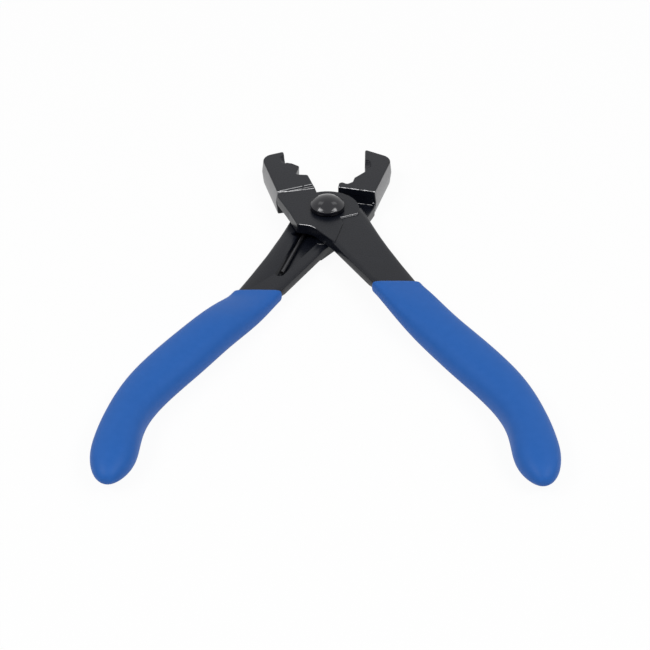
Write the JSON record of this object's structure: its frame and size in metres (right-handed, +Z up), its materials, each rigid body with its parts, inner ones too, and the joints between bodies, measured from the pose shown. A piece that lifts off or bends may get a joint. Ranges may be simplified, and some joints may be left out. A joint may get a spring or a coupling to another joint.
{
  "type": "hose clamp pliers",
  "caption": "Hand pliers with hooked, stepped jaws that squeeze the ears of a spring hose clamp, held open by a torsion spring and closed by two dipped grips.",
  "frame": {"origin": "on the pivot axis, at the flat face of the rivet's tail, which is level with the undersides of the grips", "axes": "+Z up along the rivet towards its domed head, +Y towards the jaws, handles towards -Y, with the tool lying flat and open"},
  "size_m": [0.1266, 0.1624, 0.0132],
  "materials": {
    "black_steel": "forged steel with a satin black coating",
    "blue_vinyl": "dipped vinyl, satin",
    "rivet_black": "blackened steel, semi-gloss",
    "spring_steel": "drawn spring wire, dark"
  },
  "bodies": {
    "upper": {"upper_lever": "black_steel", "upper_grip": "blue_vinyl", "pivot_rivet": "rivet_black"},
    "lower": {"lower_lever": "black_steel", "lower_grip": "blue_vinyl", "return_spring": "spring_steel"}
  },
  "joints": [
    {"name": "pivot", "type": "hinge", "parent": "upper", "child": "lower", "pos_m": [0, 0, 0.0051], "axis": [0, 0, 1], "range_deg": [0, 31], "stiffness_Nm_per_rad": 0.4, "deforming": ["return_spring"]}
  ]
}
